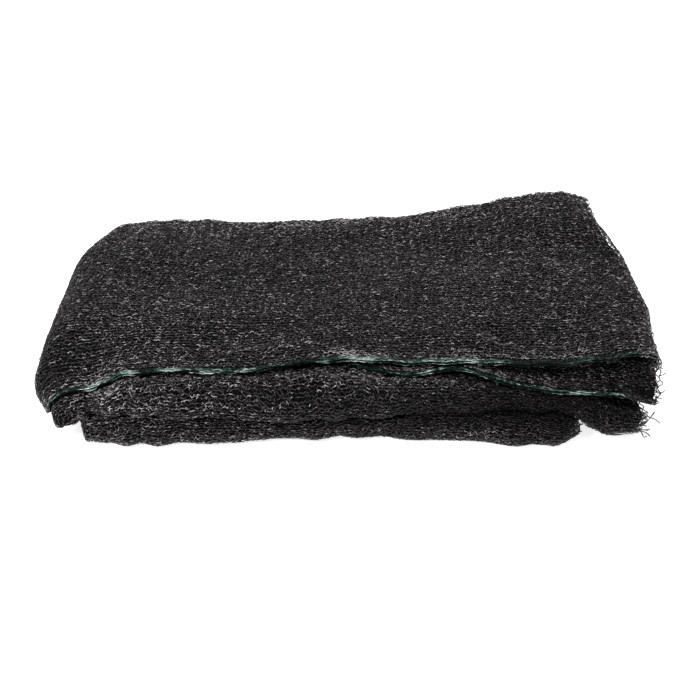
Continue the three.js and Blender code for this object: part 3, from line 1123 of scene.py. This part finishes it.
# Painted light and shade: spots of paler knit and painted glints where light falls on it, and darker knit
# in the shade under the front folds and on the left flank.
PAINTED_LIGHT_SPOTS = (
    PaintedLightSpot((-190.0, -175.0, 48.0), (150.0, 40.0, 22.0), 0.05, 0.95),
    PaintedLightSpot((-190.0, -110.0, 80.0), (100.0, 70.0, 40.0), 0.04, 0.60),
    PaintedLightSpot((0.0, -140.0, 85.0), (150.0, 40.0, 30.0), 0.0, 0.35),
    PaintedLightSpot((0.0, 165.0, 85.0), (420.0, 30.0, 40.0), 0.20, 0.1),
    PaintedLightSpot((190.0, -180.0, 34.0), (150.0, 32.0, 28.0), -0.36, -0.50),
    PaintedLightSpot((120.0, -195.0, 14.0), (60.0, 20.0, 12.0), 0.10, 0.60),
    PaintedLightSpot((20.0, -195.0, 34.0), (110.0, 40.0, 26.0), -0.07, -0.40),
    PaintedLightSpot((260.0, -170.0, 60.0), (70.0, 40.0, 14.0), 0.34, 0.40),
    PaintedLightSpot((75.0, -174.0, 71.0), (90.0, 18.0, 10.0), 0.30, 0.40),
    PaintedLightSpot((-305.0, -70.0, 45.0), (30.0, 170.0, 40.0), -0.25, -0.40),
    PaintedLightSpot((210.0, 10.0, 95.0), (120.0, 120.0, 40.0), 0.06, 0.15),
    PaintedLightSpot((200.0, -168.0, 70.0), (130.0, 20.0, 16.0), 0.30, 0.40),
    PaintedLightSpot((6.0, -160.0, 88.0), (24.0, 13.0, 9.0), 0.28, 2.80),
    PaintedLightSpot((-250.0, -172.0, 62.0), (18.0, 13.0, 12.0), 0.28, 2.60),
)


@dataclass(frozen=True)
class LoopManner:
    """How the looping yarns of a wale lie: their places beside it, turn in a stitch, and kinks."""

    places: tuple[float, ...]
    turn: float
    kink: float


@dataclass
class BlackKnit(YarnLayer):
    """The black wales, which are rows of loops, and the flat tapes that zigzag between them."""

    # The looping yarns
    loop_segments: int = 4
    loop_along: float = 0.7
    loop_across: float = 0.55
    loop_height: float = 0.75
    loop_rise: float = 0.4
    loop_rise_lead: float = 0.8
    loop_size: Pair = (0.8, 0.65)
    loop_shade: float = 0.5
    yarn_turn: float = 1.3
    wale_turn: float = 2.4
    loop_turn_stray: float = 0.9
    loop_along_stray: float = 0.4
    loop_width_stray: float = 0.5
    loop_across_stray: float = 0.45
    loop_height_stray: float = 0.25
    loop_size_stray: float = 0.15
    loop_twist_stray: float = 0.5
    usual_manner: LoopManner = LoopManner((-1.7, 2.4), 0.8 * math.tau, 0.35)
    plain_manner: LoopManner = LoopManner((-1.7,), 0.8 * math.tau, 0.35)
    close_manner: LoopManner = LoopManner((-2.6, 2.9, 0.1), 1.15 * math.tau, 0.5)
    # The flat tapes
    tape_segments: int = 2
    tape_height: float = 0.35
    tape_rise: float = 0.3
    tape_size: Pair = (1.1, 0.45)
    tape_shade: float = 0.06
    tape_painted_glint_lack: float = 1.0
    tape_along_stray: float = 0.8
    tape_height_stray: float = 0.3
    tape_size_stray: float = 0.2
    tape_twist_stray: float = 0.7
    # The slack curls
    float_share: float = 0.20
    float_rings: int = 4
    float_reach: Pair = (1.5, 6.0)
    float_bend: float = 0.9
    float_slant: float = 1.8
    float_curl: float = 0.9
    float_height: float = 0.9
    float_rise: Pair = (0.3, 1.3)
    float_size: Pair = (0.8, 0.6)
    float_shade: float = 0.42
    float_twist: float = 0.4
    float_painted_glints: Pair = (0.5, 1.2)
    # Where the knit is plain or close, and its finish
    plain_regions: tuple[Region, ...] = (Region.BACK, Region.ENDS)
    close_regions: tuple[Region, ...] = (Region.FRONT_LEFT, Region.FRONT_RIGHT)
    most_shade: float = 0.96
    # Painted glints: where glint values pass this start, the base colour is made paler by this gain.
    painted_glint_start: float = 1.15
    painted_glint_gain: float = 0.36
    mottle_gain: float = 0.11
    speckle: float = 0.17
    rib_shade: float = 0.05
    rib_length: float = 10.3
    rib_zone: Zone = Zone(-20.0, 120.0)

    def build(self, material: bpy.types.Material) -> list[bpy.types.Object]:
        """Makes the pieces of black knit, one for each region."""
        grid = self.grid
        yarns = len(self.close_manner.places)
        self.loop_strays = [self.strays(self.loop_segments) for _ in range(yarns)]
        self.loop_kinks = [self.kinks(self.loop_segments) for _ in range(yarns)]
        self.tape_strays = self.strays(self.tape_segments)
        black = ~grid.green
        upward = np.stack([grid.faces_up, ~grid.faces_up])
        tape_open = grid.open & (upward | ~grid.open[::-1])
        pieces = []
        for order, region in enumerate(Region):
            parts = MeshParts()
            for side, sign in enumerate((1.0, -1.0)):
                here = (grid.region[side] == order) & black
                manner = self.manner(region)
                self.lay_loops(parts, *np.nonzero(grid.open[side] & here), sign, 0, manner)
                rows, columns = np.nonzero(tape_open[side] & here)
                self.lay_tapes(parts, rows, columns, sign)
                for yarn in range(1, len(manner.places)):
                    self.lay_loops(parts, rows, columns, sign, yarn, manner)
                if region in self.plain_regions:
                    continue
                loose = self.rng.random(len(rows)) < self.float_share
                self.lay_floats(parts, rows[loose], columns[loose], sign)
            if parts.count:
                pieces.append(parts.make_object(region.value, material))
        return pieces

    def manner(self, region: Region) -> LoopManner:
        """How the loops lie in a region."""
        if region in self.plain_regions:
            return self.plain_manner
        return self.close_manner if region in self.close_regions else self.usual_manner

    def looks(self, points: Array, strays: Array, glints: Array, shade: float) -> Array:
        """Finish values for each ring.

        Args:
            points: where the rings are.
            strays: smooth values about 0 that make the yarn paler or darker.
            glints: smooth values about 0, of which the highest become painted glints, a paler base colour.
            shade: the yarn's usual shade.
        Returns:
            Gloss, which is even along a strand, and shade.
        """
        gloss = self.gloss(*strays.shape)
        # Painted light and shade from the spots, to which the ribs are added next.
        paler = sum(spot.shade * spot.share(points) for spot in PAINTED_LIGHT_SPOTS)
        painted_glint_boost = sum(spot.glints * spot.share(points) for spot in PAINTED_LIGHT_SPOTS)
        # Painted glints: a paler base colour where the glint values are highest.
        painted_glint = self.painted_glint_gain * np.maximum(glints - self.painted_glint_start + painted_glint_boost, 0.0)
        ribs = self.rib_shade * np.sin(math.tau * points[..., 0] / self.rib_length)
        paler = paler + ribs * self.rib_zone.share(points[..., 1])
        mottle = self.mottle_gain * strays + self.rng.normal(0.0, self.speckle, strays.shape)
        return self.look(gloss, shade + paler + mottle + painted_glint)

    def lay_loops(
        self, parts: MeshParts, rows: Array, columns: Array, sign: float, yarn: int, manner: LoopManner,
    ) -> None:
        """Adds one stitch's length of one of the looping yarns for each stitch.

        Args:
            parts: the mesh that it goes into.
            rows: the stitches' places along their wales.
            columns: their wales.
            sign: the side of the cloth.
            yarn: which of the looping yarns.
            manner: how the yarns lie there.
        """
        grid = self.grid
        rings = np.arange(self.loop_segments + 1)
        ring_rows = rows[:, None] * self.loop_segments + rings
        strays = self.loop_strays[yarn][:, ring_rows, columns[:, None]]
        kinks = manner.kink * self.loop_kinks[yarn][:, ring_rows, columns[:, None]]
        share = rings / self.loop_segments
        turn = manner.turn * (rows[:, None] + share) + self.loop_turn_stray * strays[0]
        turn = turn + self.yarn_turn * yarn + self.wale_turn * columns[:, None]
        start, step = grid.spans(rows, columns)
        ahead = self.loop_along * np.sin(turn) + self.loop_along_stray * strays[1] + kinks[0]
        along = start + step * (share + ahead / grid.stitch)
        across = grid.wales[columns][:, None] + manner.places[yarn]
        aside = self.loop_across * np.cos(turn) * (1.0 + self.loop_width_stray * strays[2])
        aside = aside + self.loop_across_stray * strays[3]
        across = across + (aside + self.wander(along, across)) + kinks[1]
        height = self.loop_height + self.loop_rise * np.sin(turn + self.loop_rise_lead)
        height = height + self.loop_height_stray * np.abs(strays[3]) + self.puff(along, across)
        points, outward = self.raise_points(along, across, height, sign)
        size = np.array(self.loop_size) * (1.0 + self.loop_size_stray * strays[3][..., None])
        look = self.looks(points, strays[2], strays[0], self.loop_shade)
        add_strands(parts, points, outward, size, self.loop_twist_stray * strays[1], look)

    def lay_tapes(self, parts: MeshParts, rows: Array, columns: Array, sign: float) -> None:
        """Adds one leg of the zigzag to the next wale for each stitch."""
        grid = self.grid
        rings = np.arange(self.tape_segments + 1)
        beside = np.minimum(columns + 1, len(grid.wales) - 1)
        strays = self.tape_strays[:, rows[:, None] * self.tape_segments + rings, columns[:, None]]
        share = rings / self.tape_segments
        over = np.where((rows % 2 == 0)[:, None], share, 1.0 - share)
        start, step = grid.spans(rows, columns)
        start = mix(start, grid.along[rows, beside][:, None], over)
        along = start + step * (share + self.tape_along_stray * strays[0] / grid.stitch)
        across = mix(grid.wales[columns][:, None], grid.wales[beside][:, None], over)
        across = across + strays[1] + self.wander(along, across)
        height = self.tape_height + self.tape_rise * np.sin(math.pi * share)
        height = height + self.tape_height_stray * np.abs(strays[2]) + self.puff(along, across)
        points, outward = self.raise_points(along, across, height, sign)
        size = np.array(self.tape_size) * (1.0 + self.tape_size_stray * strays[3][..., None])
        look = self.looks(points, strays[0], strays[1] - self.tape_painted_glint_lack, self.tape_shade)
        add_strands(parts, points, outward, size, self.tape_twist_stray * strays[2], look)

    def lay_floats(self, parts: MeshParts, rows: Array, columns: Array, sign: float) -> None:
        """Adds slack curls of yarn that stand off the knit here and there."""
        grid = self.grid
        one_each = (len(rows), 1)
        share = np.linspace(0.0, 1.0, self.float_rings)
        arch = np.sin(math.pi * share)
        reach = self.rng.uniform(*self.float_reach, one_each)
        bend = self.rng.normal(0.0, self.float_bend, one_each)
        slant = self.rng.normal(0.0, self.float_slant, one_each)
        curl = self.rng.normal(0.0, self.float_curl, one_each)
        start, _ = grid.spans(rows, columns)
        along = start + reach * share + curl * np.sin(math.tau * share)
        across = grid.wales[columns][:, None] + slant * share + bend * arch
        height = self.float_height + self.rng.uniform(*self.float_rise, one_each) * arch
        points, outward = self.raise_points(along, across, height, sign)
        twist = self.rng.normal(0.0, self.float_twist, (len(rows), self.float_rings))
        glints = self.rng.normal(*self.float_painted_glints, one_each) + twist
        look = self.looks(points, twist, glints, self.float_shade)
        add_strands(parts, points, outward, np.array(self.float_size), twist, look)


@dataclass(frozen=True)
class Glare:
    """A stretch of a selvage painted pale, a painted highlight where its crinkled film throws the light
    back, or a dark one below 0.
    """

    centre: float
    half_length: float
    shade: float

    def at(self, along: Array) -> Array:
        """How much paler the film is there."""
        return self.shade * bell(along, self.centre, self.half_length)


# Painted highlights of the crinkled films along each selvage; those below 0 make stretches darker.
FIRST_GLARES = (
    Glare(563.0, 13.0, 0.85),
    Glare(524.0, 14.0, 0.70),
    Glare(500.0, 8.0, -0.60),
    Glare(474.0, 16.0, 0.60),
    Glare(436.0, 14.0, 0.35),
    Glare(400.0, 14.0, 0.40),
    Glare(345.0, 12.0, -0.30),
    Glare(296.0, 20.0, 0.85),
    Glare(212.0, 45.0, 0.52),
    Glare(118.0, 24.0, -0.40),
)
SECOND_GLARES = (Glare(45.0, 10.0, 0.40), Glare(95.0, 45.0, 0.45), Glare(230.0, 20.0, 0.50))


@dataclass(frozen=True)
class FilmWave:
    """Waves along the films of a selvage, which differ from one film to the next."""

    size: float
    length: float
    length_step: float
    shift: float

    def at(self, along: Array, film: int) -> Array:
        """Their value along one of the films."""
        return self.size * np.sin(along / (self.length + self.length_step * film) + self.shift * film)


@dataclass
class Selvage(YarnLayer):
    """A green long edge: crinkled film tapes that run along it, bound by tight stitches."""

    name: str = "selvage"
    edge: float = 0.0
    inward: float = 1.0
    band: float = 4.4
    films: int = 5
    end_cut: float = 1.5
    ring_step: float = 2.4
    line_every: int = 2
    line_shade: float = 0.70
    dark_shade: float = 0.08
    patch_lengths: Pair = (7.9, 19.0)
    patch_shifts: Pair = (2.3, 1.0)
    patch_zone: Zone = Zone(-0.35, 0.45)
    ruffle_depth: float = 1.2
    ruffle_lengths: Pair = (11.0, 27.0)
    ruffle_shifts: Pair = (0.0, 1.0)
    # The films
    film_inset: float = 0.3
    film_width: float = 1.2
    film_thickness: float = 0.6
    film_height: float = 0.7
    film_gloss: float = 0.35
    film_fade_length: float = 17.0
    sway_wave: FilmWave = FilmWave(0.8, 6.0, 1.1, 2.1)
    height_wave: FilmWave = FilmWave(0.5, 5.0, 0.7, 1.0)
    width_wave: FilmWave = FilmWave(0.35, 7.3, 0.0, 1.3)
    twist_wave: FilmWave = FilmWave(0.9, 8.1, 0.0, 1.9)
    gloss_wave: FilmWave = FilmWave(0.3, 12.0, 0.0, 1.0)
    height_stray: float = 0.15
    twist_stray: float = 0.2
    shade_stray: float = 0.06
    # The binding stitches
    bind_rings: int = 4
    bind_margin: float = 1.5
    bind_reach: float = 1.2
    bind_slant: Pair = (0.8, 2.0)
    bind_stray: float = 0.3
    bind_height: float = 1.3
    bind_rise: Pair = (0.1, 0.7)
    bind_size: Pair = (0.8, 0.5)
    bind_twist: float = 0.6
    bind_film: int = 1
    bind_speckle: float = 0.28
    glares: tuple[Glare, ...] = ()

    def shade(self, along: Array, film: int) -> Array:
        """The usual shade of a film along the edge, with its glares' painted highlights added."""
        usual = self.line_shade if film % self.line_every == 0 else self.dark_shade
        shifts = (self.patch_shifts[0] * film, self.patch_shifts[1] * film)
        patch = self.patch_zone.share(beat(along, self.patch_lengths, shifts))
        return mix(self.dark_shade, usual, patch) + sum(glare.at(along) for glare in self.glares)

    def ruffle(self, along: Array) -> Array:
        """How far the whole edge is drawn in, in waves along it."""
        return self.ruffle_depth * (1.0 + beat(along, self.ruffle_lengths, self.ruffle_shifts))

    def build(self, material: bpy.types.Material) -> bpy.types.Object:
        """Makes the edge as one piece."""
        parts = MeshParts()
        self.lay_films(parts)
        near = np.abs(self.grid.wales - self.edge) < self.band + self.bind_margin
        for side, sign in enumerate((1.0, -1.0)):
            self.lay_bindings(parts, *np.nonzero(self.grid.open[side] & self.grid.green & near), sign)
        return parts.make_object(self.name, material)

    def lay_films(self, parts: MeshParts) -> None:
        """Adds the long films, side by side, on both faces of the cloth."""
        along = np.arange(self.grid.selvage_start, self.grid.plan.length - self.end_cut, self.ring_step)
        count = len(along)
        for film, sign in product(range(self.films), (1.0, -1.0)):
            place = self.edge + self.inward * (self.film_inset + self.band * film / (self.films - 1))
            sway = self.sway_wave.at(along, film) * np.cos(along / self.film_fade_length + film)
            across = place + sway + self.inward * self.ruffle(along)
            height = self.film_height + self.height_wave.at(along, film)
            height = height + self.height_stray * self.rng.normal(0.0, 1.0, count)
            points, outward = self.raise_points(along, across, height, sign)
            width = self.film_width * (1.0 + self.width_wave.at(along, film))
            size = np.stack([width, np.full(count, self.film_thickness)], axis=-1)
            twist = self.twist_wave.at(along, film) + self.rng.normal(0.0, self.twist_stray, count)
            shade = self.shade(along, film) + self.rng.normal(0.0, self.shade_stray, count)
            gloss = np.clip(self.film_gloss + self.gloss_wave.at(along, film), 0.0, self.most_gloss)
            look = self.look(gloss + ring_steps(count), shade)
            add_strands(parts, points[None], outward[None], size[None], twist[None], look[None])

    def lay_bindings(self, parts: MeshParts, rows: Array, columns: Array, sign: float) -> None:
        """Adds a slanting stitch of green yarn over the films for each stitch."""
        grid = self.grid
        count = len(rows)
        share = np.linspace(0.0, 1.0, self.bind_rings)
        start, step = grid.spans(rows, columns)
        way = np.where(rows % 2 == 0, 1.0, -1.0)[:, None]
        slant = way * self.rng.uniform(*self.bind_slant, (count, 1))
        along = start + self.bind_reach * step * share
        across = grid.wales[columns][:, None] + slant * (share - 0.5)
        across = across + self.rng.normal(0.0, self.bind_stray, (count, 1))
        rise = self.rng.uniform(*self.bind_rise, (count, 1))
        height = self.bind_height + rise * np.sin(math.pi * share)
        points, outward = self.raise_points(along, across, height, sign)
        twist = self.rng.normal(0.0, self.bind_twist, (count, self.bind_rings))
        shade = self.shade(along, self.bind_film)
        shade = shade + self.rng.normal(0.0, self.bind_speckle, (count, 1))
        look = self.look(self.gloss(count, self.bind_rings), shade)
        add_strands(parts, points, outward, np.array(self.bind_size), twist, look)


@dataclass(frozen=True)
class FraySpot:
    """A stretch of a cut end, by its distances across the cloth, and the yarn that is loose there."""

    start: float
    end: float
    share: float
    length: Pair


@dataclass
class FrayedEnds(YarnLayer):
    """The cut ends: the last course of loops along each, and loose yarn that stands out of it."""

    usual: FraySpot = FraySpot(0.0, math.inf, 0.2, (1.5, 5.0))
    spots: tuple[FraySpot, ...] = (
        FraySpot(1300.0, 1440.0, 0.55, (7.0, 18.0)),
        FraySpot(2070.0, 2112.0, 0.4, (4.0, 11.0)),
    )
    most_shade: float = 0.92
    usual_shade: float = 0.3
    speckle: float = 0.15
    # The last course, by the inset and shift of each yarn
    edge_courses: tuple[Pair, ...] = ((1.2, 0.0), (3.4, 1.9))
    edge_step: float = 1.7
    edge_sway: float = 1.7
    edge_sway_length: float = 1.9
    edge_stray: float = 0.5
    edge_lift: float = 0.4
    edge_size: Pair = (1.1, 0.8)
    edge_twist: float = 0.5
    # The loose yarns
    loose_each: int = 3
    loose_rings: int = 7
    loose_spread: float = 3.0
    loose_depth: Pair = (1.0, 5.0)
    loose_step: float = 4.0
    loose_lean: float = 0.4
    loose_bend: float = 0.10
    loose_size: Pair = (1.2, 0.8)
    loose_twist: float = 0.6
    loose_lowest: float = 0.5
    droop: float = 0.02
    crimp: float = 0.8
    crimp_length: float = 2.4
    crimp_shift: float = 9.0

    def build(self, material: bpy.types.Material) -> bpy.types.Object:
        """Makes the yarn of both cut ends as one piece."""
        plan = self.grid.plan
        parts = MeshParts()
        for end, ahead in ((0.0, -1.0), (plan.length, 1.0)):
            self.lay_edge(parts, end, ahead)
            self.lay_loose(parts, end, ahead, self.usual)
        for spot in self.spots:
            self.lay_loose(parts, 0.0, -1.0, spot)
        return parts.make_object("frayed_ends", material)

    def looks(self, count: int, rings: int) -> Array:
        """Finish values for each ring of many strands."""
        gloss = self.gloss(count, rings)
        return self.look(gloss, self.rng.normal(self.usual_shade, self.speckle, (count, rings)))

    def lay_edge(self, parts: MeshParts, end: float, ahead: float) -> None:
        """Adds the last course, two wavy yarns along a cut end."""
        across = np.arange(0.0, self.grid.plan.width, self.edge_step)
        count = len(across)
        for inset, shift in self.edge_courses:
            sway = self.edge_sway * np.sin(across / self.edge_sway_length + shift)
            sway = sway + self.edge_stray * self.rng.normal(0.0, 1.0, count)
            height = self.edge_lift * self.rng.normal(0.0, 1.0, count)
            points, outward = self.raise_points(end - ahead * (inset + sway), across, height, 1.0)
            twist = self.rng.normal(0.0, self.edge_twist, (1, count))
            look = self.looks(1, count)
            add_strands(parts, points[None], outward[None], np.array(self.edge_size), twist, look)

    def lay_loose(self, parts: MeshParts, end: float, ahead: float, spot: FraySpot) -> None:
        """Adds loose yarns to a stretch of a cut end, a few at most on each wale."""
        plan = self.grid.plan
        roots = np.repeat(self.grid.wales, self.loose_each)
        roots = roots + self.rng.uniform(-self.loose_spread, self.loose_spread, len(roots))
        roots = roots[(roots > spot.start) & (roots < spot.end)]
        roots = roots[self.rng.random(len(roots)) < spot.share]
        count, rings = len(roots), self.loose_rings
        start = end - ahead * self.rng.uniform(*self.loose_depth, count)
        points, normals = plan.frames(start, roots)
        out = unit(points - plan.place(start - ahead * self.loose_step, roots))
        aside = unit(np.cross(normals, out))
        travel = self.rng.uniform(*spot.length, (count, 1)) * np.linspace(0.0, 1.0, rings)
        lean, curl = self.rng.normal(0.0, self.loose_lean, (2, count, 1))
        shift = self.crimp_shift * lean
        crimps = np.sin(travel / self.crimp_length + shift) - np.sin(shift)
        sideways = travel * lean + self.loose_bend * curl * travel ** 2 + self.crimp * crimps
        lines = points[:, None] + out[:, None] * travel[..., None] + aside[:, None] * sideways[..., None]
        lines[..., 2] = np.maximum(lines[..., 2] - self.droop * travel ** 2, self.loose_lowest)
        twist = self.rng.normal(0.0, self.loose_twist, (count, rings))
        look = self.looks(count, rings)
        add_strands(parts, lines, normals[:, None], np.array(self.loose_size), twist, look)


@dataclass(frozen=True)
class FloorFinish:
    """White ground, lit through so that it stays white under the cloth, with a barely uneven tone."""

    name: str = "white_paper"
    shades: ColourStops = ((0.3, (0.99, 0.99, 0.99)), (0.7, (1.0, 1.0, 1.0)))
    tone_scale: float = 3.0
    glow: float = 0.8
    roughness: float = 0.9
    specular: float = 0.1

    def material(self) -> bpy.types.Material:
        """Makes the node material."""
        bench = NodeBench(self.name)
        place = bench.add("ShaderNodeTexCoord", "Object", {})
        tone = bench.add("ShaderNodeTexNoise", "Fac", {"Vector": place, "Scale": self.tone_scale})
        white = bench.ramp(tone, self.shades)
        bench.feed(bench.shader, {
            "Base Color": white,
            "Roughness": self.roughness,
            "Specular IOR Level": self.specular,
            "Emission Color": white,
            "Emission Strength": self.glow,
        })
        return bench.material


@dataclass(frozen=True)
class SoftLight:
    """A square softbox: where it stands, what it points at, its side and its power."""

    name: str
    place: Triple
    target: Triple
    side: float
    watts: float

    def build(self) -> None:
        """Adds the light."""
        data = bpy.data.lights.new(self.name, "AREA")
        data.shape = "SQUARE"
        data.size = self.side
        data.energy = self.watts
        lamp = bpy.data.objects.new(self.name, data)
        lamp.location = self.place
        lamp.rotation_euler = (Vector(self.target) - Vector(self.place)).to_track_quat("-Z", "Y").to_euler()
        bpy.context.scene.collection.objects.link(lamp)


@dataclass
class Studio:
    """The floor, the soft lights and the camera at the photograph's angle."""

    field_of_view: float = 29.0
    elevation: float = 28.69
    azimuth: float = 0.3
    distance: float = 1.457
    target: Triple = (0.00483, -0.001, 0.00027)
    floor_size: float = 40.0
    floor_cells: int = 8
    floor_rim: float = 1.0
    rim_share: float = 0.49
    world_strength: float = 0.35
    lights: tuple[SoftLight, ...] = (
        SoftLight("overhead", (0.0, 0.9, 2.4), (0.0, 0.2, 0.0), 1.8, 34.0),
        SoftLight("front_left", (-1.4, -1.3, 1.5), (0.0, 0.0, 0.0), 0.7, 34.0),
        SoftLight("right_fill", (1.8, -0.8, 1.1), (0.0, 0.0, 0.0), 0.9, 5.0),
    )

    def build(self) -> None:
        """Makes the whole setting."""
        self.build_floor()
        for light in self.lights:
            light.build()
        world = bpy.data.worlds.new("soft_room")
        world.use_nodes = True
        background = world.node_tree.nodes["Background"].inputs
        background["Color"].default_value = (1.0, 1.0, 1.0, 1.0)
        background["Strength"].default_value = self.world_strength
        scene = bpy.context.scene
        scene.world = world
        scene.view_settings.view_transform = "Standard"
        self.build_camera()

    def build_floor(self) -> None:
        """Adds the floor sheet with a raised far rim. It isn't part of the object."""
        bpy.ops.object.select_all(action="DESELECT")
        cells = self.floor_cells
        bpy.ops.mesh.primitive_grid_add(x_subdivisions=cells, y_subdivisions=cells, size=self.floor_size)
        floor = bpy.context.active_object
        floor.name = "floor"
        for vertex in floor.data.vertices:
            if max(abs(vertex.co.x), abs(vertex.co.y)) > self.rim_share * self.floor_size:
                vertex.co.z = self.floor_rim
        floor.data.materials.append(FloorFinish().material())

    def build_camera(self) -> None:
        """Adds the camera and makes it the scene's."""
        turn, tilt = math.radians(self.azimuth), math.radians(self.elevation)
        ahead = Vector((math.sin(turn) * math.cos(tilt), math.cos(turn) * math.cos(tilt), -math.sin(tilt)))
        data = bpy.data.cameras.new("camera")
        data.lens_unit = "FOV"
        data.angle = math.radians(self.field_of_view)
        camera = bpy.data.objects.new("camera", data)
        camera.location = Vector(self.target) - ahead * self.distance
        camera.rotation_euler = ahead.to_track_quat("-Z", "Y").to_euler()
        bpy.context.scene.collection.objects.link(camera)
        bpy.context.scene.camera = camera


def main() -> None:
    """Builds the pieces in order and sets the scene."""
    logging.basicConfig(level=logging.INFO, format="%(name)s %(message)s")
    rng = np.random.default_rng(SEED)
    plan = FoldPlan()
    grid = StitchGrid(plan)
    black, green = BLACK_TAPE.material(), GREEN_TAPE.material()
    ground = GroundSheet(plan).build(GroundFinish().material(grid))
    knit = BlackKnit(grid, rng).build(black)
    knit.append(FrayedEnds(grid, rng).build(black))
    first = Selvage(grid, rng, name="selvage_first", glares=FIRST_GLARES)
    second = Selvage(
        grid, rng, name="selvage_second", edge=plan.width, inward=-1.0, band=2.4, films=3, film_width=1.0,
        glares=SECOND_GLARES,
    )
    selvages = [selvage.build(green) for selvage in (first, second)]
    for piece in (ground, *knit, *selvages):
        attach(piece, BODY)
    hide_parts(CLOTH_NODE)
    Studio().build()


if __name__ == "__main__":
    main()
